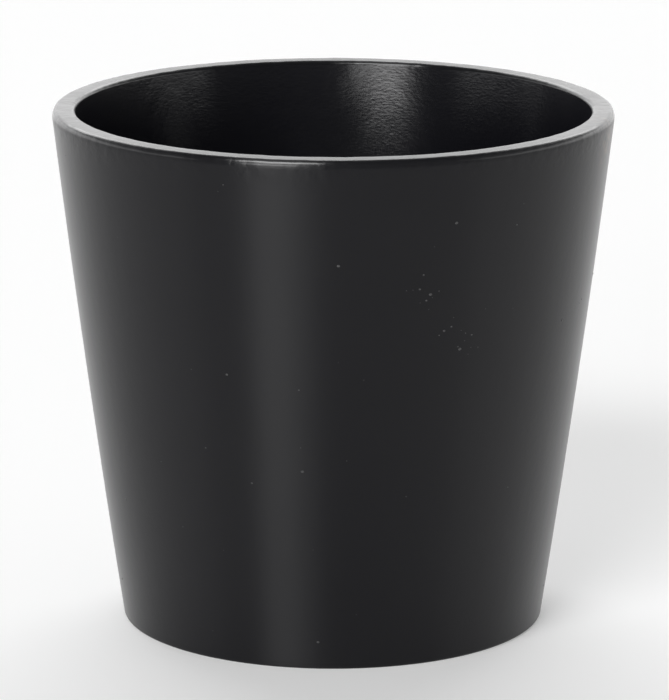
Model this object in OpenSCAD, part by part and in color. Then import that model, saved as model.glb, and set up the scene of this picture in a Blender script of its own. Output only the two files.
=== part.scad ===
// Empty candle jar: a tapered, open-topped cup of fired clay.
// A satin coat covers the outside and the rim, and a glossier liner coat covers the inside.
// The jar stands on the plane z = 0, and its axis is the z axis.

/* [Jar] */
// Outer diameter at the top, where the wall's line meets the height of the rim
rim_d = 129.5; // [100:0.5:160]
// Height from the table to the top of the rim
jar_h = 120; // [95:1:150]
// Outer diameter at the base, where the wall's line meets the table
base_d = 97.8; // [78:0.2:120]
// How far the wall swells outwards from a straight cone, at mid height
wall_bow = 0.5; // [0:0.05:2]

/* [Clay] */
// Thickness of the fired clay wall, measured square to it
clay_t = 4.7; // [3.5:0.1:7]
// Thickness of the fired clay floor, over the recess in the underside
floor_t = 5; // [3.5:0.1:9]
// Height of the recess in the underside, which keeps the floor off the table
recess_h = 1.6; // [0.8:0.1:3]
// Width of the flat ring that the jar stands on
foot_ring_w = 7; // [4:0.5:10]

/* [Coats] */
// Thickness of the satin coat and of the liner coat
coat_t = 0.3; // [0.2:0.02:0.4]
// Height of the bare clay edge that the satin coat leaves at the table
bare_foot_h = 0.2; // [0.1:0.05:0.5]

/* [Edges] */
// Radius of the small round on the rim's outer edge
rim_edge_round = 1; // [0.6:0.1:1.4]
// Radius of the shoulder, the slow curve that leads from the wall up to that round
rim_shoulder_round = 3; // [2:0.5:6]
// How far the surface faces upwards, in degrees, where the shoulder meets the round
rim_shoulder_tilt = 26; // [12:1:35]
// Radius of the round on the rim's inner edge
rim_inner_round = 1; // [0.5:0.1:1.2]
// Radius of the round on the foot's edge
foot_round = 0.8; // [0.6:0.1:1.5]
// Radius of the hollow corner where the inner wall meets the floor
floor_corner_r = 7; // [4:0.5:12]

/* [Smoothness] */
// Straight steps that the wall's swell is made from
wall_steps = 12; // [6:1:20]
// Straight steps in each quarter turn of an edge or a corner
round_steps = 8; // [4:1:12]

/* [Hidden] */
$fn = 96;
rim_r = rim_d / 2;
base_r = base_d / 2;
wall_t = clay_t + 2 * coat_t;
clay_floor_z = recess_h + floor_t;
floor_z = clay_floor_z + coat_t;

// Radius and lean of the wall's outer line at height z. The lean is in degrees from upright.
function wall_r(z) = let (t = z / jar_h) base_r + (rim_r - base_r) * t + 4 * wall_bow * t * (1 - t);
function wall_lean(z) = atan((rim_r - base_r + 4 * wall_bow * (1 - 2 * z / jar_h)) / jar_h);

// A point of the wall at a depth below its outer surface, measured square to it from height z
function wall_point(z, depth) = [wall_r(z) - depth * cos(wall_lean(z)), z + depth * sin(wall_lean(z))];

// Points of the wall between two heights, without the two ends
function wall_points(z_from, z_to, depth) =
    [for (i = [1 : wall_steps - 1]) wall_point(z_from + (z_to - z_from) * i / wall_steps, depth)];

// Points of an arc, both ends included
function steps_for(turn) = max(2, ceil(abs(turn) / 90 * round_steps));
function arc(centre, radius, from, to) =
    [for (i = [0 : steps_for(to - from)])
        let (a = from + (to - from) * i / steps_for(to - from))
        centre + radius * [cos(a), sin(a)]];

// A list in the other direction, and a list without its first item
function reversed(list) = [for (i = [len(list) - 1 : -1 : 0]) list[i]];
function without_first(list) = [for (i = [1 : len(list) - 1]) list[i]];

// Centres of the rounds, each set so that its arc runs on from the wall in the same direction
foot_lean = wall_lean(0);
foot_wall_z = foot_round * (1 - sin(foot_lean));
foot_centre = [wall_r(foot_wall_z) - foot_round * cos(foot_lean), foot_round];
coat_stop = asin(bare_foot_h / foot_round - 1);

rim_lean = wall_lean(jar_h);
round_gap = rim_shoulder_round - rim_edge_round;
shoulder_z = jar_h - rim_edge_round - round_gap * sin(rim_shoulder_tilt);
rim_wall_z = shoulder_z - rim_shoulder_round * sin(rim_lean);
shoulder_centre = [wall_r(rim_wall_z) - rim_shoulder_round * cos(rim_lean), shoulder_z];
edge_centre = [shoulder_centre[0] + round_gap * cos(rim_shoulder_tilt), jar_h - rim_edge_round];

lip_wall_z = jar_h - rim_inner_round - (wall_t - rim_inner_round) * sin(rim_lean);
lip_centre = [wall_point(lip_wall_z, wall_t - rim_inner_round)[0], jar_h - rim_inner_round];

corner_lean = wall_lean(floor_z);
corner_wall_z = floor_z + floor_corner_r - (wall_t + floor_corner_r) * sin(corner_lean);
corner_centre = [wall_point(corner_wall_z, wall_t + floor_corner_r)[0], floor_z + floor_corner_r];

ring_inner_r = foot_centre[0] - foot_ring_w;
recess_round = recess_h / 2;

// From the foot, up the outside and over the rim to its inner edge
function outside(depth) = concat(
    arc(foot_centre, foot_round - depth, coat_stop, -foot_lean),
    wall_points(foot_wall_z, rim_wall_z, depth),
    arc(shoulder_centre, rim_shoulder_round - depth, -rim_lean, rim_shoulder_tilt),
    without_first(arc(edge_centre, rim_edge_round - depth, rim_shoulder_tilt, 90)),
    arc(lip_centre, rim_inner_round - depth, 90, 180 - rim_lean)
);

// The seam just under the rim's inner edge, where the satin coat ends and the liner coat begins
function seam(depth) = [lip_centre + (rim_inner_round - depth) * [-cos(rim_lean), sin(rim_lean)]];

// From below the seam, down the inside and across the floor to the axis
function inside(depth) = concat(
    wall_points(lip_wall_z, corner_wall_z, wall_t - depth),
    arc(corner_centre, floor_corner_r + depth, -corner_lean, -90),
    [[0, floor_z - depth]]
);

// From the axis, out along the recess and down its rounded step to the bare edge of the foot
function underside() = concat(
    [[0, recess_h]],
    arc([ring_inner_r - recess_h, recess_round], recess_round, 90, 0),
    without_first(arc([ring_inner_r, recess_round], recess_round, 180, 270)),
    arc(foot_centre, foot_round, -90, coat_stop)
);

// Fired clay: the wall, the floor and the bare ring that it stands on
module clay_body() {
    color("peru")
        rotate_extrude()
            polygon(concat(underside(), outside(coat_t), inside(coat_t)));
}

// Satin coat: from just above the table, up the wall and over the rim
module outer_coat() {
    color("#1c1c1f")
        rotate_extrude()
            polygon(concat(outside(0), reversed(outside(coat_t))));
}

// Liner coat: from the rim's inner edge, down the inside and across the floor
module liner_coat() {
    color("#101012")
        rotate_extrude()
            polygon(concat(seam(0), inside(0), reversed(inside(coat_t)), seam(coat_t)));
}

clay_body();
outer_coat();
liner_coat();
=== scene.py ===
"""Empty candle jar: a tapered cup of fired clay with a satin black coat outside and a glossier liner inside.

The jar stands on the plane z = 0 with its axis on the z axis, and every length is in metres.
"""
import logging
import math
from dataclasses import dataclass, field
from enum import Enum

import bpy
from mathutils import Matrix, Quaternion, Vector


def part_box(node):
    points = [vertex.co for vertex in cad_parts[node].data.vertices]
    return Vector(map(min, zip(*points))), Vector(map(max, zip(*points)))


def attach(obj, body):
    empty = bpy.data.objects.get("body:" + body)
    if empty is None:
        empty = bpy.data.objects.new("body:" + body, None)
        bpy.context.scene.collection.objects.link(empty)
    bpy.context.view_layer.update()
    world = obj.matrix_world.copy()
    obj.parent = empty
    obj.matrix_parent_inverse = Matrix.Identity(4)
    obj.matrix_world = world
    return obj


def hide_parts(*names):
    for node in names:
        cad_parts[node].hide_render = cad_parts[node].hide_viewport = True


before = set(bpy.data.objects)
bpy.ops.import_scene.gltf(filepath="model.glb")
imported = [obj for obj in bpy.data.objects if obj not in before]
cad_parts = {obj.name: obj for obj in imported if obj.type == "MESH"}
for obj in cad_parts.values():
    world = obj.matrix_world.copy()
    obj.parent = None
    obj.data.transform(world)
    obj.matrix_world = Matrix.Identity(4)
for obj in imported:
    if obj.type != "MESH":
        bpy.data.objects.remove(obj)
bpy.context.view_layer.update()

log = logging.getLogger("candle_jar")

MM = 0.001
ROOT_BODY = "root"
Point = tuple[float, float]
Place = tuple[float, float, float]
Colour = tuple[float, float, float]


# ---------------------------------------------------------------------------------------------------------
# Node trees
# ---------------------------------------------------------------------------------------------------------


@dataclass(frozen=True)
class Signal:
    """A value on its way through a node tree; arithmetic on it adds the nodes that work it out."""

    bench: "Bench"
    socket: bpy.types.NodeSocket

    def __add__(self, other: "Signal | float") -> "Signal":
        """Adds another value."""
        return self.bench.maths("ADD", self, other)

    def __radd__(self, other: float) -> "Signal":
        """Adds this value to a number."""
        return self.bench.maths("ADD", other, self)

    def __sub__(self, other: "Signal | float") -> "Signal":
        """Takes another value away."""
        return self.bench.maths("SUBTRACT", self, other)

    def __rsub__(self, other: float) -> "Signal":
        """Takes this value away from a number."""
        return self.bench.maths("SUBTRACT", other, self)

    def __mul__(self, other: "Signal | float") -> "Signal":
        """Multiplies by another value."""
        return self.bench.maths("MULTIPLY", self, other)

    def __rmul__(self, other: float) -> "Signal":
        """Multiplies a number by this value."""
        return self.bench.maths("MULTIPLY", other, self)

    def __truediv__(self, other: "Signal | float") -> "Signal":
        """Divides by another value."""
        return self.bench.maths("DIVIDE", self, other)

    def __pow__(self, other: "Signal | float") -> "Signal":
        """Raises to a power."""
        return self.bench.maths("POWER", self, other)


class Bench:
    """Builds one node tree: every node of it comes from the node method or from arithmetic on signals."""

    def __init__(self, tree: bpy.types.NodeTree) -> None:
        """Starts with an empty tree.

        Args:
            tree: the tree to build in; its first nodes are removed.
        """
        self.tree = tree
        tree.nodes.clear()

    def node(self, kind: str, settings: dict | None = None, sockets: dict | None = None) -> bpy.types.Node:
        """Adds one node.

        Args:
            kind: the node's type.
            settings: its properties, set before its sockets.
            sockets: a value or a signal for each input, by the input's name or number.

        Returns:
            The node.
        """
        made = self.tree.nodes.new(kind)
        for name, value in (settings or {}).items():
            setattr(made, name, value)
        for key, value in (sockets or {}).items():
            self.feed(made.inputs[key], value)
        return made

    def signal(self, kind: str, settings: dict | None = None, sockets: dict | None = None,
               output: str | int = 0) -> Signal:
        """Adds one node and gives one of its outputs.

        Args:
            kind: the node's type.
            settings: its properties.
            sockets: a value or a signal for each input.
            output: the output's name or number.

        Returns:
            The output as a signal.
        """
        return Signal(self, self.node(kind, settings, sockets).outputs[output])

    def feed(self, socket: bpy.types.NodeSocket, value: object) -> None:
        """Links a signal to an input, or sets the input's value.

        Args:
            socket: the input.
            value: a signal, or a value of the input's own kind.
        """
        if isinstance(value, Signal):
            self.tree.links.new(value.socket, socket)
        else:
            socket.default_value = value

    def maths(self, operation: str, *values: Signal | float) -> Signal:
        """Adds a Math node.

        Args:
            operation: what it does.
            values: its inputs, in order.

        Returns:
            The result.
        """
        return self.signal("ShaderNodeMath", {"operation": operation}, dict(enumerate(values)))

    def vector(self, operation: str, *values: object, output: str | int = 0) -> Signal:
        """Adds a Vector Math node.

        Args:
            operation: what it does.
            values: its inputs, in order.
            output: the output to give.

        Returns:
            The result.
        """
        return self.signal("ShaderNodeVectorMath", {"operation": operation}, dict(enumerate(values)), output)

    def ramp(self, value: Signal, low: float, high: float) -> Signal:
        """Runs smoothly from 0 to 1 as a value goes from low to high.

        Args:
            value: the value.
            low: where the result is 0.
            high: where the result is 1; it may be less than low.

        Returns:
            The smooth step.
        """
        settings = {"interpolation_type": "SMOOTHSTEP"}
        if low < high:
            return self.signal("ShaderNodeMapRange", settings, {"Value": value, 1: low, 2: high})
        return 1.0 - self.signal("ShaderNodeMapRange", settings, {"Value": value, 1: high, 2: low})

    def blend(self, amount: Signal | float, first: object, second: object) -> Signal:
        """Mixes two colours.

        Args:
            amount: how much of the second colour there is.
            first: the first colour or signal.
            second: the second colour or signal.

        Returns:
            The mixed colour.
        """
        colours = [value if isinstance(value, Signal) else (*value, 1.0) for value in (first, second)]
        factor, colour_a, colour_b, colour_out = 0, 6, 7, 2
        sockets = {factor: amount, colour_a: colours[0], colour_b: colours[1]}
        return self.signal("ShaderNodeMix", {"data_type": "RGBA"}, sockets, colour_out)

    def noise(self, place: Signal, size: float, detail: float = 2.0, seed: float = 0.0) -> Signal:
        """Gives smooth random values from 0 to 1 with a mean of about a half.

        Args:
            place: the point to read it at.
            size: the width of a typical lump.
            detail: how many finer layers are added.
            seed: which of many patterns to use.

        Returns:
            The value.
        """
        sockets = {"Vector": place, "W": seed, "Scale": 1.0 / size, "Detail": detail}
        return self.signal("ShaderNodeTexNoise", {"noise_dimensions": "4D"}, sockets)


# ---------------------------------------------------------------------------------------------------------
# Finishes
# ---------------------------------------------------------------------------------------------------------


class Gloss(Enum):
    """How rough each kind of finish is, as the shader's roughness."""

    WET = 0.14
    GLOSSY = 0.2
    SATIN = 0.32
    DULL = 0.55
    MATT = 0.86


class MaterialBench(Bench):
    """Builds one material round a Principled shader."""

    def __init__(self, name: str, fixed: dict[str, float]) -> None:
        """Makes the material.

        Args:
            name: the material's name.
            fixed: the shader's values that are the same all over.
        """
        self.material = bpy.data.materials.new(name)
        self.material.use_nodes = True
        super().__init__(self.material.node_tree)
        self.shader = self.node("ShaderNodeBsdfPrincipled", sockets=fixed)
        self.node("ShaderNodeOutputMaterial", sockets={"Surface": Signal(self, self.shader.outputs[0])})
        self.place = self.signal("ShaderNodeTexCoord", output="Object")
        split = self.node("ShaderNodeSeparateXYZ", sockets={0: self.place})
        x, y, self.z = (Signal(self, output) for output in split.outputs)
        self.radius = self.maths("SQRT", x * x + y * y)

    def near(self, point: Place, reach: float) -> Signal:
        """Gives 1 at a point, falling smoothly to 0 at a distance from it.

        Args:
            point: the point.
            reach: the distance.

        Returns:
            The mask.
        """
        away = self.vector("DISTANCE", self.place, point, output="Value")
        return self.ramp(away, reach, 0.0)

    def ripples(self, size: float, squash: float, seed: float) -> Signal:
        """Gives a fine grain whose lumps lie flat, like the faint marks that turning leaves.

        Args:
            size: the width of a typical lump.
            squash: how many times wider than high a lump is.
            seed: which of many patterns to use.

        Returns:
            The pattern.
        """
        flattened = self.vector("MULTIPLY", self.place, (1.0, 1.0, squash))
        return self.noise(flattened, size, detail=1.5, seed=seed)

    def bumps(self, layers: list[tuple[Signal, float]]) -> None:
        """Gives the shader a normal from layers of relief.

        Args:
            layers: each layer's pattern, from 0 to 1, and its full height.
        """
        normal = None
        for pattern, height in layers:
            sockets = {"Strength": 1.0, "Distance": height, "Height": pattern}
            if normal is not None:
                sockets["Normal"] = normal
            normal = self.signal("ShaderNodeBump", sockets=sockets)
        self.feed(self.shader.inputs["Normal"], normal)


@dataclass(frozen=True)
class SatinCoat:
    """Satin black coat of the outside and the rim, with a glossier pool on the rim's shoulder and its land.

    In one place it is worn thin, so that the clay shows through. Each depth is measured down from the rim.
    """

    rim_height: float
    name: str = "satin_black_coat"
    black: Colour = (0.0018, 0.0018, 0.0031)
    cloudy: Colour = (0.0028, 0.0028, 0.0044)
    cloud_size: float = 18.0 * MM
    thin: Colour = (0.075, 0.042, 0.022)
    thin_spot: Place = (62.2 * MM, -16.0 * MM, 115.5 * MM)
    thin_reach: float = 9.0 * MM
    patch_size: float = 2.2 * MM
    patch_edge: tuple[float, float] = (0.42, 0.66)
    ior: float = 1.375
    streaks: float = 0.97
    streak_turn: float = 0.25
    gloss: Gloss = Gloss.SATIN
    smudge_size: float = 26.0 * MM
    smudge_swing: float = 0.05
    pool_ior: float = 1.45
    pool_gloss: Gloss = Gloss.WET
    pool_amount: float = 0.7
    pool_edge: tuple[float, float] = (1.5 * MM, 1.1 * MM)
    land_edge: tuple[float, float] = (0.7 * MM, 0.1 * MM)
    land_loss: float = 0.45
    lump_size: float = 2.2 * MM
    lump_height: float = 0.12 * MM
    lump_edge: tuple[float, float] = (7.5 * MM, 2.0 * MM)
    lumps_on_wall: float = 0.15
    ripple_size: float = 0.9 * MM
    ripple_height: float = 0.009 * MM
    ripple_squash: float = 2.4

    def above(self, bench: MaterialBench, depths: tuple[float, float]) -> Signal:
        """Gives a mask that runs from 0 to 1 between two depths below the rim."""
        low, high = (self.rim_height - depth for depth in depths)
        return bench.ramp(bench.z, low, high)

    def make(self) -> bpy.types.Material:
        """Builds the material.

        Returns:
            The material.
        """
        bench = MaterialBench(self.name, {
            "IOR": self.ior, "Anisotropic": self.streaks, "Anisotropic Rotation": self.streak_turn,
            "Coat IOR": self.pool_ior, "Coat Roughness": self.pool_gloss.value})
        clouds = bench.noise(bench.place, self.cloud_size, detail=3.0, seed=1.0)
        patchy = bench.noise(bench.place, self.patch_size, detail=3.0, seed=2.0)
        worn = bench.near(self.thin_spot, self.thin_reach) * bench.ramp(patchy, *self.patch_edge)
        colour = bench.blend(clouds, self.black, self.cloudy)
        bench.feed(bench.shader.inputs["Base Color"], bench.blend(worn, colour, self.thin))
        smudges = bench.noise(bench.place, self.smudge_size, detail=4.0, seed=3.0)
        roughness = self.gloss.value + self.smudge_swing * (smudges - 0.5)
        bench.feed(bench.shader.inputs["Roughness"], roughness)
        kept_on_land = 1.0 - self.land_loss * self.above(bench, self.land_edge)
        pooled = self.pool_amount * self.above(bench, self.pool_edge) * kept_on_land
        bench.feed(bench.shader.inputs["Coat Weight"], pooled)
        ripples = bench.ripples(self.ripple_size, self.ripple_squash, seed=4.0)
        lumps = bench.noise(bench.place, self.lump_size, detail=2.0, seed=5.0)
        near_rim = self.above(bench, self.lump_edge)
        lumps = lumps * (self.lumps_on_wall + (1.0 - self.lumps_on_wall) * near_rim)
        bench.bumps([(lumps, self.lump_height), (ripples, self.ripple_height)])
        return bench.material


@dataclass(frozen=True)
class LinerCoat:
    """Glossier black coat of the inside, with an orange-peel grain."""

    name: str = "glossy_liner_coat"
    black: Colour = (0.005, 0.005, 0.0068)
    cloud_size: float = 14.0 * MM
    cloud_gain: float = 1.5
    ior: float = 1.5
    streaks: float = 0.2
    streak_turn: float = 0.25
    gloss: Gloss = Gloss.GLOSSY
    smudge_size: float = 20.0 * MM
    smudge_swing: float = 0.06
    swell_size: float = 3.5 * MM
    swell_height: float = 0.04 * MM
    grain_size: float = 1.1 * MM
    grain_height: float = 0.03 * MM
    grain_squash: float = 2.2

    def make(self) -> bpy.types.Material:
        """Builds the material.

        Returns:
            The material.
        """
        bench = MaterialBench(self.name, {
            "IOR": self.ior, "Anisotropic": self.streaks, "Anisotropic Rotation": self.streak_turn})
        clouds = bench.noise(bench.place, self.cloud_size, detail=3.0, seed=11.0)
        lighter = tuple(self.cloud_gain * part for part in self.black)
        bench.feed(bench.shader.inputs["Base Color"], bench.blend(clouds, self.black, lighter))
        smudges = bench.noise(bench.place, self.smudge_size, detail=3.0, seed=12.0)
        roughness = self.gloss.value + self.smudge_swing * (smudges - 0.5)
        bench.feed(bench.shader.inputs["Roughness"], roughness)
        swell = bench.noise(bench.place, self.swell_size, detail=2.0, seed=13.0)
        grain = bench.ripples(self.grain_size, self.grain_squash, seed=14.0)
        bench.bumps([(swell, self.swell_height), (grain, self.grain_height)])
        return bench.material


@dataclass(frozen=True)
class FiredClay:
    """Bare fired earthenware, which shows on the foot ring and in the recess of the underside.

    A ragged black stain runs in from the foot's outer edge, where the satin coat stops.
    """

    name: str = "fired_clay"
    pale: Colour = (0.42, 0.235, 0.14)
    dark: Colour = (0.27, 0.135, 0.075)
    cloud_size: float = 12.0 * MM
    cloud_edge: tuple[float, float] = (0.3, 0.7)
    cloud_height: float = 0.15 * MM
    grit: Colour = (0.1, 0.055, 0.035)
    grit_size: float = 0.7 * MM
    grit_edge: tuple[float, float] = (0.66, 0.74)
    grit_amount: float = 0.7
    stain: Colour = (0.018, 0.017, 0.017)
    stain_radii: tuple[float, float] = (47.4 * MM, 48.1 * MM)
    raggedness: float = 1.6 * MM
    grain_size: float = 0.4 * MM
    grain_height: float = 0.05 * MM
    ior: float = 1.45
    gloss: Gloss = Gloss.MATT

    def make(self) -> bpy.types.Material:
        """Builds the material.

        Returns:
            The material.
        """
        bench = MaterialBench(self.name, {"IOR": self.ior, "Roughness": self.gloss.value})
        clouds = bench.noise(bench.place, self.cloud_size, detail=4.0, seed=21.0)
        colour = bench.blend(bench.ramp(clouds, *self.cloud_edge), self.pale, self.dark)
        specks = bench.ramp(bench.noise(bench.place, self.grit_size, detail=1.0, seed=22.0), *self.grit_edge)
        colour = bench.blend(specks * self.grit_amount, colour, self.grit)
        ragged = bench.noise(bench.place, self.raggedness, detail=3.0, seed=23.0)
        stained = bench.ramp(bench.radius + self.raggedness * (ragged - 0.5), *self.stain_radii)
        bench.feed(bench.shader.inputs["Base Color"], bench.blend(stained, colour, self.stain))
        grains = bench.noise(bench.place, self.grain_size, detail=3.0, seed=24.0)
        bench.bumps([(clouds, self.cloud_height), (grains, self.grain_height)])
        return bench.material


@dataclass(frozen=True)
class PaleDust:
    """Pale dust nibs that were caught in the satin coat while it was wet."""

    name: str = "pale_dust"
    colour: Colour = (0.085, 0.085, 0.087)
    dimmest: float = 0.35
    mottle_size: float = 0.6 * MM
    ior: float = 1.45
    gloss: Gloss = Gloss.DULL
    gloss_swing: float = 0.2

    def make(self) -> bpy.types.Material:
        """Builds the material.

        Returns:
            The material.
        """
        bench = MaterialBench(self.name, {"IOR": self.ior})
        mottle = bench.noise(bench.place, self.mottle_size, detail=2.0, seed=31.0)
        dim = tuple(self.dimmest * part for part in self.colour)
        bench.feed(bench.shader.inputs["Base Color"], bench.blend(mottle, dim, self.colour))
        roughness = self.gloss.value + self.gloss_swing * (mottle - 0.5)
        bench.feed(bench.shader.inputs["Roughness"], roughness)
        return bench.material


# ---------------------------------------------------------------------------------------------------------
# The jar's shape
# ---------------------------------------------------------------------------------------------------------


@dataclass(frozen=True)
class Cut:
    """A point of a shell's cross-section: its radius, its height, and how much the coat's lumps move it."""

    radius: float
    height: float
    relief: float = 0.0


@dataclass(frozen=True)
class JarShape:
    """Cross-section of the jar; the height and the widest radius come from the frame."""

    height: float
    widest: float
    base_radius: float = 48.9 * MM
    wall_bow: float = 0.5 * MM
    clay: float = 4.7 * MM
    coat: float = 0.3 * MM
    floor_clay: float = 5.0 * MM
    recess: float = 1.6 * MM
    foot_ring: float = 7.0 * MM
    bare_foot: float = 0.2 * MM
    rim_edge: float = 1.0 * MM
    rim_shoulder: float = 3.0 * MM
    shoulder_tilt: float = math.radians(26.0)
    lip_round: float = 1.0 * MM
    foot_round: float = 0.8 * MM
    corner: float = 7.0 * MM
    wall_steps: int = 56
    round_steps: int = 12
    fewest_steps: int = 6

    @classmethod
    def from_frame(cls) -> "JarShape":
        """Reads the overall sizes from the satin coat's box."""
        _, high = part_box("outer_coat")
        return cls(height=high.z, widest=high.x)

    @property
    def wall(self) -> float:
        """Whole thickness of the wall, with both coats."""
        return self.clay + 2 * self.coat

    @property
    def floor(self) -> float:
        """Height of the liner's floor."""
        return self.recess + self.floor_clay + self.coat

    @property
    def rim_radius(self) -> float:
        """Radius where the wall's line meets the height of the rim.

        Returns:
            The radius, a little over the widest one.
        """
        slope = (self.widest - self.base_radius - 4 * self.wall_bow) / self.height
        lean = math.atan(slope)
        shoulder_drop = self.rim_edge + self.round_gap * math.sin(self.shoulder_tilt)
        drop = shoulder_drop + self.rim_shoulder * math.sin(lean)
        return self.widest + drop * slope - self.rim_shoulder * (1 - math.cos(lean))

    @property
    def round_gap(self) -> float:
        """Distance between the centres of the rim's shoulder and of its small outer round."""
        return self.rim_shoulder - self.rim_edge

    def wall_radius(self, height: float) -> float:
        """Works out the radius of the wall's outer line, a cone that swells gently at mid height.

        Args:
            height: where on the wall.

        Returns:
            The radius.
        """
        part = height / self.height
        cone = self.base_radius + (self.rim_radius - self.base_radius) * part
        return cone + 4 * self.wall_bow * part * (1 - part)

    def lean(self, height: float) -> float:
        """Angle of the wall from upright, in radians."""
        swell = 4 * self.wall_bow * (1 - 2 * height / self.height)
        return math.atan((self.rim_radius - self.base_radius + swell) / self.height)

    def wall_point(self, height: float, depth: float) -> Point:
        """Point at a depth below the wall's outer line, measured square to it."""
        lean = self.lean(height)
        return self.wall_radius(height) - depth * math.cos(lean), height + depth * math.sin(lean)

    def wall_points(self, start: float, end: float, depth: float) -> list[Point]:
        """Points of the wall between two heights, without the two ends."""
        steps = [start + (end - start) * step / self.wall_steps for step in range(1, self.wall_steps)]
        return [self.wall_point(height, depth) for height in steps]

    def arc(self, centre: Point, radius: float, start: float, end: float) -> list[Point]:
        """Points of an arc, both ends included.

        Args:
            centre: the arc's centre.
            radius: its radius.
            start: the angle of its first point, in radians.
            end: the angle of its last point.

        Returns:
            The points.
        """
        count = max(self.fewest_steps, math.ceil(abs(end - start) / (math.pi / 2) * self.round_steps))
        angles = [start + (end - start) * step / count for step in range(count + 1)]
        return [(centre[0] + radius * math.cos(a), centre[1] + radius * math.sin(a)) for a in angles]

    @property
    def foot_wall_height(self) -> float:
        """Height where the foot's round meets the wall."""
        return self.foot_round * (1 - math.sin(self.lean(0)))

    @property
    def foot_centre(self) -> Point:
        """Centre of the foot's round."""
        radius = self.wall_radius(self.foot_wall_height) - self.foot_round * math.cos(self.lean(0))
        return radius, self.foot_round

    @property
    def coat_stop(self) -> float:
        """Angle on the foot's round where the satin coat stops."""
        return math.asin(self.bare_foot / self.foot_round - 1)

    @property
    def rim_lean(self) -> float:
        """Angle of the wall from upright at the rim."""
        return self.lean(self.height)

    @property
    def shoulder_height(self) -> float:
        """Height of the centre of the rim's shoulder."""
        return self.height - self.rim_edge - self.round_gap * math.sin(self.shoulder_tilt)

    @property
    def rim_wall_height(self) -> float:
        """Height where the wall meets the rim's shoulder."""
        return self.shoulder_height - self.rim_shoulder * math.sin(self.rim_lean)

    @property
    def shoulder_centre(self) -> Point:
        """Centre of the rim's shoulder, the slow curve between the wall and the small outer round."""
        radius = self.wall_radius(self.rim_wall_height) - self.rim_shoulder * math.cos(self.rim_lean)
        return radius, self.shoulder_height

    @property
    def edge_centre(self) -> Point:
        """Centre of the rim's small outer round."""
        radius = self.shoulder_centre[0] + self.round_gap * math.cos(self.shoulder_tilt)
        return radius, self.height - self.rim_edge

    @property
    def lip_wall_height(self) -> float:
        """Height on the wall's outer line that lies square to the rim's inner round."""
        return self.height - self.lip_round - (self.wall - self.lip_round) * math.sin(self.rim_lean)

    @property
    def lip_centre(self) -> Point:
        """Centre of the rim's inner round."""
        radius, _ = self.wall_point(self.lip_wall_height, self.wall - self.lip_round)
        return radius, self.height - self.lip_round

    @property
    def corner_wall_height(self) -> float:
        """Height on the wall's outer line that lies square to the inner corner's end."""
        reach = self.wall + self.corner
        return self.floor + self.corner - reach * math.sin(self.lean(self.floor))

    @property
    def corner_centre(self) -> Point:
        """Centre of the hollow corner between the inner wall and the floor."""
        radius, _ = self.wall_point(self.corner_wall_height, self.wall + self.corner)
        return radius, self.floor + self.corner

    def outside(self, depth: float) -> list[Point]:
        """Runs from the foot, up the outside and over the rim to its inner edge.

        Args:
            depth: how far below the outer surface.

        Returns:
            The points.
        """
        lean = self.rim_lean
        return [
            *self.arc(self.foot_centre, self.foot_round - depth, self.coat_stop, -self.lean(0)),
            *self.wall_points(self.foot_wall_height, self.rim_wall_height, depth),
            *self.arc(self.shoulder_centre, self.rim_shoulder - depth, -lean, self.shoulder_tilt),
            *self.arc(self.edge_centre, self.rim_edge - depth, self.shoulder_tilt, math.pi / 2)[1:],
            *self.arc(self.lip_centre, self.lip_round - depth, math.pi / 2, math.pi - lean),
        ]

    def seam(self, depth: float) -> list[Point]:
        """Point of the seam under the rim's inner edge, where the satin coat ends and the liner begins."""
        reach, lean = self.lip_round - depth, self.rim_lean
        return [(self.lip_centre[0] - reach * math.cos(lean), self.lip_centre[1] + reach * math.sin(lean))]

    def inside(self, depth: float) -> list[Point]:
        """Runs from below the seam, down the inside and across the floor to the axis.

        Args:
            depth: how far below the liner's surface.

        Returns:
            The points.
        """
        lean = self.lean(self.floor)
        flat, level = self.corner_centre[0], self.floor - depth
        across = [(flat * (1 - step / self.round_steps), level) for step in range(1, self.round_steps)]
        return [
            *self.wall_points(self.lip_wall_height, self.corner_wall_height, self.wall - depth),
            *self.arc(self.corner_centre, self.corner + depth, -lean, -math.pi / 2),
            *across,
            (0.0, level),
        ]

    def underside(self) -> list[Point]:
        """Runs from the axis, out along the recess and over its shoulder to the bare edge of the foot.

        Returns:
            The points.
        """
        ring = self.foot_centre[0] - self.foot_ring
        shoulder = self.recess / 2
        flat = ring - self.recess
        across = [(flat * step / self.round_steps, self.recess) for step in range(self.round_steps)]
        return [
            *across,
            *self.arc((flat, shoulder), shoulder, math.pi / 2, 0),
            *self.arc((ring, shoulder), shoulder, math.pi, 1.5 * math.pi)[1:],
            *self.arc(self.foot_centre, self.foot_round, -math.pi / 2, self.coat_stop),
        ]


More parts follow.
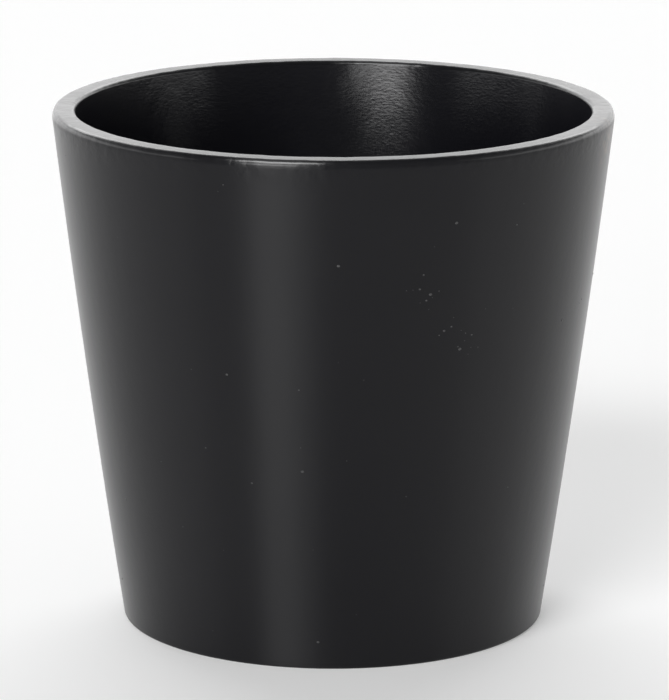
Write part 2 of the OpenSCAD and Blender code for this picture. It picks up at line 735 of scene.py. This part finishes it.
class Lathe(Bench):
    """Geometry Nodes tree that turns a cross-section round the z axis and gives the skin its lumps."""

    hub = 1.0 * MM
    weld = 1e-6
    sharp_angle = math.radians(40)
    lumps_below_rim = 0.12

    def __init__(self) -> None:
        """Builds the tree."""
        super().__init__(bpy.data.node_groups.new("lathe", "GeometryNodeTree"))
        sockets = self.tree.interface
        sockets.new_socket("Cross-section", in_out="INPUT", socket_type="NodeSocketGeometry")
        sockets.new_socket("Segments", in_out="INPUT", socket_type="NodeSocketInt")
        for name in ("Lump Size", "Lump Height", "Rim Height", "Rim Depth", "Seed"):
            sockets.new_socket(name, in_out="INPUT", socket_type="NodeSocketFloat")
        sockets.new_socket("Finish", in_out="INPUT", socket_type="NodeSocketMaterial")
        sockets.new_socket("Shell", in_out="OUTPUT", socket_type="NodeSocketGeometry")
        given = self.node("NodeGroupInput")
        size = {socket.name: Signal(self, socket) for socket in given.outputs if socket.name}

        path = self.signal("GeometryNodeCurvePrimitiveCircle",
                           sockets={"Resolution": size["Segments"], "Radius": self.hub})
        outline = self.signal("GeometryNodeMeshToCurve", sockets={0: size["Cross-section"]})
        laid = self.signal("GeometryNodeTransform", sockets={
            "Geometry": outline, "Translation": (-self.hub, 0.0, 0.0), "Rotation": (math.pi / 2, 0.0, 0.0)})
        shell = self.signal("GeometryNodeCurveToMesh", sockets={"Curve": path, "Profile Curve": laid})
        shell = self.signal("GeometryNodeMergeByDistance", sockets={"Geometry": shell, "Distance": self.weld})
        shell = self.signal("GeometryNodeSetPosition",
                            sockets={"Geometry": shell, "Offset": self.lumps(size)})
        angle = self.signal("GeometryNodeInputMeshEdgeAngle")
        sharp = self.signal("FunctionNodeCompare", {"operation": "GREATER_THAN"},
                            {0: angle, 1: self.sharp_angle})
        shell = self.signal("GeometryNodeSetShadeSmooth", {"domain": "EDGE"},
                            {"Geometry": shell, "Selection": sharp, "Shade Smooth": False})
        shell = self.signal("GeometryNodeRealizeInstances", sockets={"Geometry": shell})
        shell = self.signal("GeometryNodeSetMaterial",
                            sockets={"Geometry": shell, "Material": size["Finish"]})
        self.node("NodeGroupOutput", sockets={0: shell})

    def lumps(self, size: dict[str, Signal]) -> Signal:
        """Works out how far each point moves out of the true turned shape.

        Args:
            size: the tree's inputs, by name.

        Returns:
            The offset vector.
        """
        place = self.signal("GeometryNodeInputPosition")
        height = Signal(self, self.node("ShaderNodeSeparateXYZ", sockets={0: place}).outputs[2])
        relief = self.signal("GeometryNodeInputNamedAttribute", {"data_type": "FLOAT"}, {"Name": "relief"})
        scaled = self.vector("DIVIDE", place, self.signal("ShaderNodeCombineXYZ", sockets={
            0: size["Lump Size"], 1: size["Lump Size"], 2: size["Lump Size"]}))
        noise = self.signal("ShaderNodeTexNoise", {"noise_dimensions": "4D"},
                            {"Vector": scaled, "W": size["Seed"], "Scale": 1.0, "Detail": 1.0})
        near_rim = self.signal("ShaderNodeMapRange", {"interpolation_type": "SMOOTHSTEP"}, {
            "Value": height, 1: size["Rim Height"] - size["Rim Depth"], 2: size["Rim Height"],
            3: self.lumps_below_rim, 4: 1.0})
        amount = (noise - 0.5) * 2.0 * size["Lump Height"] * near_rim * relief
        scale_input = 3
        node = self.node("ShaderNodeVectorMath", {"operation": "SCALE"},
                         {0: self.signal("GeometryNodeInputNormal"), scale_input: amount})
        return Signal(self, node.outputs[0])


def set_inputs(modifier: bpy.types.NodesModifier, values: dict[str, object]) -> None:
    """Sets a Geometry Nodes modifier's inputs.

    Args:
        modifier: the modifier, with its tree.
        values: a value for each of the tree's inputs, by its name.
    """
    for item in modifier.node_group.interface.items_tree:
        if item.item_type == "SOCKET" and item.in_out == "INPUT" and item.name in values:
            modifier[item.identifier] = values[item.name]


def grown(name: str, base: bpy.types.Mesh, tree: bpy.types.NodeTree,
          values: dict[str, object]) -> bpy.types.Object:
    """Runs a Geometry Nodes tree on a mesh and keeps the result as a plain mesh.

    Args:
        name: the new object's name.
        base: the mesh that the tree starts from.
        tree: the tree.
        values: the tree's inputs, by name.

    Returns:
        The new object, at the origin, with no modifier.
    """
    piece = bpy.data.objects.new(name, base)
    bpy.context.scene.collection.objects.link(piece)
    modifier = piece.modifiers.new("grow", "NODES")
    modifier.node_group = tree
    set_inputs(modifier, values)
    bpy.context.view_layer.update()
    evaluated = piece.evaluated_get(bpy.context.evaluated_depsgraph_get())
    mesh = bpy.data.meshes.new_from_object(evaluated)
    piece.modifiers.remove(modifier)
    piece.data = mesh
    mesh.name = name
    bpy.data.meshes.remove(base)
    return piece


@dataclass
class Shell:
    """One turned layer of the jar."""

    name: str
    node: str
    slot: str
    finish: SatinCoat | LinerCoat | FiredClay
    outline: list[Cut]
    rim_height: float
    segments: int = 512
    lump_size: float = 4.0 * MM
    lump_height: float = 0.03 * MM
    rim_depth: float = 9.0 * MM
    seed: float = 0.0

    def build(self, lathe: Lathe) -> bpy.types.Object:
        """Turns the layer and puts it in the place of its CAD node.

        Args:
            lathe: the tree that turns it.

        Returns:
            The finished piece.
        """
        base = bpy.data.meshes.new(self.name + "_section")
        count = len(self.outline)
        closed = self.outline[0].radius > 0
        edges = [(index, (index + 1) % count) for index in range(count if closed else count - 1)]
        base.from_pydata([(cut.radius, 0.0, cut.height) for cut in self.outline], edges, [])
        relief = base.attributes.new("relief", "FLOAT", "POINT")
        relief.data.foreach_set("value", [cut.relief for cut in self.outline])
        piece = grown(self.name, base, lathe.tree, {
            "Segments": self.segments, "Lump Size": self.lump_size, "Lump Height": self.lump_height,
            "Rim Height": self.rim_height, "Rim Depth": self.rim_depth, "Seed": self.seed,
            "Finish": self.finish.make()})
        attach(piece, ROOT_BODY)
        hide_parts(self.node)
        log.info("%s: %d faces, for %s", self.name, len(piece.data.polygons), self.node)
        return piece


class NibTree(Bench):
    """Geometry Nodes tree that strews small flat nibs over a skin, some at random and some in clusters."""

    clusters = ("First Cluster", "Second Cluster", "Third Cluster")
    narrowing = 0.8
    rarity = 3.0
    crowd_scale = 70.0
    crowd_edge = (0.4, 0.62)

    def __init__(self) -> None:
        """Builds the tree."""
        super().__init__(bpy.data.node_groups.new("nibs", "GeometryNodeTree"))
        sockets = self.tree.interface
        sockets.new_socket("Skin", in_out="INPUT", socket_type="NodeSocketGeometry")
        for name in ("Density", "Cluster Density", "Cluster Reach", "Smallest", "Largest", "Flatness"):
            sockets.new_socket(name, in_out="INPUT", socket_type="NodeSocketFloat")
        for name in self.clusters:
            sockets.new_socket(name, in_out="INPUT", socket_type="NodeSocketVector")
        sockets.new_socket("Seed", in_out="INPUT", socket_type="NodeSocketInt")
        sockets.new_socket("Finish", in_out="INPUT", socket_type="NodeSocketMaterial")
        sockets.new_socket("Nibs", in_out="OUTPUT", socket_type="NodeSocketGeometry")
        given = self.node("NodeGroupInput")
        size = {socket.name: Signal(self, socket) for socket in given.outputs if socket.name}

        strewn = self.node("GeometryNodeDistributePointsOnFaces", {"distribute_method": "RANDOM"}, {
            "Mesh": size["Skin"], "Density": self.density(size), "Seed": size["Seed"]})
        points, turned = Signal(self, strewn.outputs["Points"]), Signal(self, strewn.outputs["Rotation"])
        ball = self.signal("GeometryNodeMeshIcoSphere", sockets={"Radius": 1.0, "Subdivisions": 2})
        chance = self.signal("FunctionNodeRandomValue", {"data_type": "FLOAT"},
                             {"Seed": size["Seed"]}, 1)
        width = size["Smallest"] + (size["Largest"] - size["Smallest"]) * chance ** self.rarity
        scale = self.signal("ShaderNodeCombineXYZ", sockets={
            0: width, 1: width * self.narrowing, 2: width * size["Flatness"]})
        nibs = self.signal("GeometryNodeInstanceOnPoints", sockets={
            "Points": points, "Instance": ball, "Rotation": turned, "Scale": scale})
        nibs = self.signal("GeometryNodeRealizeInstances", sockets={"Geometry": nibs})
        nibs = self.signal("GeometryNodeSetShadeSmooth", sockets={"Geometry": nibs})
        nibs = self.signal("GeometryNodeSetMaterial",
                           sockets={"Geometry": nibs, "Material": size["Finish"]})
        self.node("NodeGroupOutput", sockets={0: nibs})

    def density(self, size: dict[str, Signal]) -> Signal:
        """Works out how many nibs there are on a square metre at each place.

        Args:
            size: the tree's inputs, by name.

        Returns:
            The density.
        """
        place = self.signal("GeometryNodeInputPosition")
        crowd = self.signal("ShaderNodeTexNoise", {"noise_dimensions": "3D"},
                            {"Vector": place, "Scale": self.crowd_scale})
        total = size["Density"] * self.ramp(crowd, *self.crowd_edge)
        for name in self.clusters:
            away = self.vector("DISTANCE", place, size[name], output="Value") / size["Cluster Reach"]
            total = total + size["Cluster Density"] * self.ramp(away, 1.0, 0.0)
        return total


@dataclass(frozen=True)
class DustNibs:
    """Pale dust nibs in the satin coat, thinly strewn and thicker round three places.

    The first place is just under the front of the rim and the other two are on the wall below it.
    """

    name: str = "dust_nibs"
    finish: PaleDust = PaleDust()
    density: float = 4200.0
    cluster_density: float = 210000.0
    cluster_reach: float = 8.0 * MM
    smallest: float = 0.1 * MM
    largest: float = 0.42 * MM
    flatness: float = 0.3
    skin_segments: int = 256
    seed: int = 12
    places: tuple[Place, ...] = (
        (-25.1 * MM, -59.2 * MM, 116.9 * MM),
        (20.3 * MM, -57.5 * MM, 88.5 * MM),
        (28.5 * MM, -52.3 * MM, 79.0 * MM),
    )

    def build(self, shape: JarShape, lathe: Lathe) -> bpy.types.Object:
        """Strews the nibs over the outer wall.

        Args:
            shape: the jar's shape.
            lathe: the tree that turns the skin that they sit on.

        Returns:
            The finished piece.
        """
        wall = shape.wall_points(shape.foot_wall_height, shape.rim_wall_height, 0.0)
        outline = bpy.data.meshes.new(self.name + "_section")
        edges = [(index, index + 1) for index in range(len(wall) - 1)]
        outline.from_pydata([(radius, 0.0, height) for radius, height in wall], edges, [])
        smooth = {"Segments": self.skin_segments, "Lump Size": 1.0}
        skin = grown(self.name + "_skin", outline, lathe.tree, smooth)
        mesh = skin.data
        bpy.data.objects.remove(skin)
        values = {
            "Density": self.density, "Cluster Density": self.cluster_density,
            "Cluster Reach": self.cluster_reach, "Smallest": self.smallest, "Largest": self.largest,
            "Flatness": self.flatness, "Seed": self.seed, "Finish": self.finish.make()}
        values.update(zip(NibTree.clusters, self.places))
        piece = grown(self.name, mesh, NibTree().tree, values)
        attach(piece, ROOT_BODY)
        log.info("%s: %d faces", self.name, len(piece.data.polygons))
        return piece


@dataclass
class Jar:
    """The whole jar: the clay body, its two coats and the dust in the outer one."""

    shape: JarShape
    lathe: Lathe = field(default_factory=Lathe)

    def clay_body(self) -> Shell:
        """Describes the fired clay: the wall, the floor and the bare ring that it stands on.

        Returns:
            The layer.
        """
        shape = self.shape
        points = [*shape.underside(), *shape.outside(shape.coat), *shape.inside(shape.coat)]
        outline = [Cut(radius, height) for radius, height in points]
        return Shell("clay_body_shell", "clay_body", "fired_clay", FiredClay(), outline, shape.height,
                     segments=256)

    def satin_coat(self) -> Shell:
        """Describes the satin coat: from just above the table, up the wall and over the rim.

        Returns:
            The layer.
        """
        shape = self.shape
        shown = [Cut(radius, height, 1.0) for radius, height in shape.outside(0.0)]
        hidden = [Cut(radius, height) for radius, height in reversed(shape.outside(shape.coat))]
        finish = SatinCoat(shape.height)
        return Shell("satin_coat_shell", "outer_coat", "satin_coat", finish, shown + hidden, shape.height,
                     lump_height=0.09 * MM, lump_size=3.6 * MM, rim_depth=6 * MM, seed=3.0)

    def liner_coat(self) -> Shell:
        """Describes the liner: from the rim's inner edge, down the inside and across the floor.

        Returns:
            The layer.
        """
        shape = self.shape
        shown = [Cut(radius, height, 1.0) for radius, height in [*shape.seam(0.0), *shape.inside(0.0)]]
        under = [*shape.seam(shape.coat), *shape.inside(shape.coat)]
        hidden = [Cut(radius, height) for radius, height in reversed(under)]
        finish = LinerCoat()
        return Shell("liner_coat_shell", "liner_coat", "liner_coat", finish, shown + hidden, shape.height,
                     lump_height=0.045 * MM, rim_depth=22 * MM, seed=7.0)

    def build(self) -> None:
        """Builds every piece."""
        for shell in (self.clay_body(), self.satin_coat(), self.liner_coat()):
            shell.build(self.lathe)
        DustNibs().build(self.shape, self.lathe)


# ---------------------------------------------------------------------------------------------------------
# Studio
# ---------------------------------------------------------------------------------------------------------


@dataclass(frozen=True)
class Viewpoint:
    """The camera: a long lens, a little above the jar."""

    pitch: float = math.radians(13.65)
    roll: float = math.radians(0.115)
    distance: float = 1.115
    lens_mm: float = 246.5
    sensor_mm: float = 36.0
    aim_side: float = 0.35 * MM
    aim_rise: float = 2.38 * MM
    clip: tuple[float, float] = (0.05, 30.0)

    def make(self, middle: float) -> bpy.types.Object:
        """Makes the camera.

        Args:
            middle: the height of the jar's middle.

        Returns:
            The camera.
        """
        data = bpy.data.cameras.new("camera")
        data.lens, data.sensor_width = self.lens_mm, self.sensor_mm
        data.clip_start, data.clip_end = self.clip
        camera = bpy.data.objects.new("camera", data)
        back = Vector((0.0, -math.cos(self.pitch), math.sin(self.pitch)))
        camera.location = Vector((0.0, 0.0, middle)) + self.distance * back
        aim = Vector((self.aim_side, 0.0, middle + self.aim_rise))
        camera.rotation_mode = "QUATERNION"
        level = (aim - camera.location).to_track_quat("-Z", "Y")
        camera.rotation_quaternion = level @ Quaternion((0.0, 0.0, 1.0), self.roll)
        bpy.context.scene.collection.objects.link(camera)
        bpy.context.scene.camera = camera
        log.info("camera: %.0f mm lens, %.2f m away", self.lens_mm, self.distance)
        return camera


@dataclass(frozen=True)
class Floor:
    """Pale table top that runs far out under the jar."""

    reach: float = 6.0
    colour: Colour = (0.72, 0.72, 0.72)
    glow: float = 0.25
    mottle_size: float = 0.4
    mottle_level: float = 0.99

    def make(self) -> bpy.types.Object:
        """Makes the table top.

        Returns:
            The table top.
        """
        bench = MaterialBench("table_top", {
            "Roughness": 0.9, "Specular IOR Level": 0.1, "Emission Color": (1.0, 1.0, 1.0, 1.0),
            "Emission Strength": self.glow})
        mottle = bench.noise(bench.place, self.mottle_size, detail=2.0, seed=41.0)
        darker = tuple(self.mottle_level * part for part in self.colour)
        bench.feed(bench.shader.inputs["Base Color"], bench.blend(mottle, self.colour, darker))
        mesh = bpy.data.meshes.new("table_top")
        reach = self.reach
        corners = [(-reach, -reach, 0), (reach, -reach, 0), (reach, reach, 0), (-reach, reach, 0)]
        mesh.from_pydata(corners, [], [(0, 1, 2, 3)])
        mesh.materials.append(bench.material)
        table = bpy.data.objects.new("table_top", mesh)
        bpy.context.scene.collection.objects.link(table)
        return table


@dataclass(frozen=True)
class Glow:
    """Soft-edged patch of light on the studio's walls, placed by its angles round the jar, in degrees."""

    azimuth: float
    elevation: float
    half_width: float
    half_height: float
    level: float
    edge: float

    def light(self, bench: Bench, azimuth: Signal, elevation: Signal) -> Signal:
        """Works out the patch's light for one direction.

        Args:
            bench: the world's node tree.
            azimuth: the direction's angle from the camera's side towards +x.
            elevation: its angle above the table.

        Returns:
            The light.
        """
        aside = bench.maths("ABSOLUTE", bench.maths("WRAP", azimuth - self.azimuth, 180.0, -180.0))
        above = bench.maths("ABSOLUTE", elevation - self.elevation)
        across = bench.ramp(aside, self.half_width + self.edge, self.half_width - self.edge)
        upward = bench.ramp(above, self.half_height + self.edge, self.half_height - self.edge)
        return self.level * across * upward


@dataclass(frozen=True)
class Surround:
    """Dim white walls with soft patches of light, as the world's background."""

    wall_level: float = 0.16
    overhead: Glow = Glow(0.0, 90.0, half_width=180.0, half_height=15.0, level=0.3, edge=15.0)
    back_light: Glow = Glow(183.0, 34.0, half_width=40.0, half_height=14.0, level=4.6, edge=10.0)
    horizon: Glow = Glow(180.0, 7.0, half_width=120.0, half_height=6.0, level=1.5, edge=6.0)
    shoulder_light: Glow = Glow(-25.0, 37.0, half_width=17.0, half_height=6.0, level=15.0, edge=6.0)
    low_light: Glow = Glow(-20.0, 3.5, half_width=12.0, half_height=2.5, level=5.0, edge=3.0)
    wall_strip: Glow = Glow(-26.0, 12.0, half_width=9.0, half_height=7.0, level=7.5, edge=5.0)

    @property
    def glows(self) -> list[Glow]:
        """The lights, in the order in which they are added up."""
        return [self.overhead, self.back_light, self.horizon, self.shoulder_light, self.low_light,
                self.wall_strip]

    def make(self) -> None:
        """Makes the world."""
        world = bpy.data.worlds.new("white_surround")
        world.use_nodes = True
        bench = Bench(world.node_tree)
        towards = bench.signal("ShaderNodeTexCoord", output="Generated")
        split = bench.node("ShaderNodeSeparateXYZ", sockets={0: towards})
        side, back, rise = (Signal(bench, output) for output in split.outputs)
        azimuth = bench.maths("DEGREES", bench.maths("ARCTAN2", side, -1.0 * back))
        elevation = bench.maths("DEGREES", bench.maths("ARCSINE", rise))
        light = self.wall_level
        for glow in self.glows:
            light = light + glow.light(bench, azimuth, elevation)
        shade = bench.signal("ShaderNodeBackground",
                             sockets={"Color": (1.0, 1.0, 1.0, 1.0), "Strength": light})
        bench.node("ShaderNodeOutputWorld", sockets={"Surface": shade})
        bpy.context.scene.world = world


@dataclass(frozen=True)
class Studio:
    """Table top and light."""

    floor: Floor = Floor()
    surround: Surround = Surround()

    def build(self) -> None:
        """Builds the studio and sets how the picture is shown."""
        self.floor.make()
        self.surround.make()
        view = bpy.context.scene.view_settings
        view.view_transform = "Standard"
        view.look = "None"


def main() -> None:
    """Builds the camera, the jar and the studio."""
    logging.basicConfig(level=logging.INFO, format="%(name)s: %(message)s")
    shape = JarShape.from_frame()
    Viewpoint().make(shape.height / 2)
    Jar(shape).build()
    Studio().build()


if __name__ == "__main__":
    main()
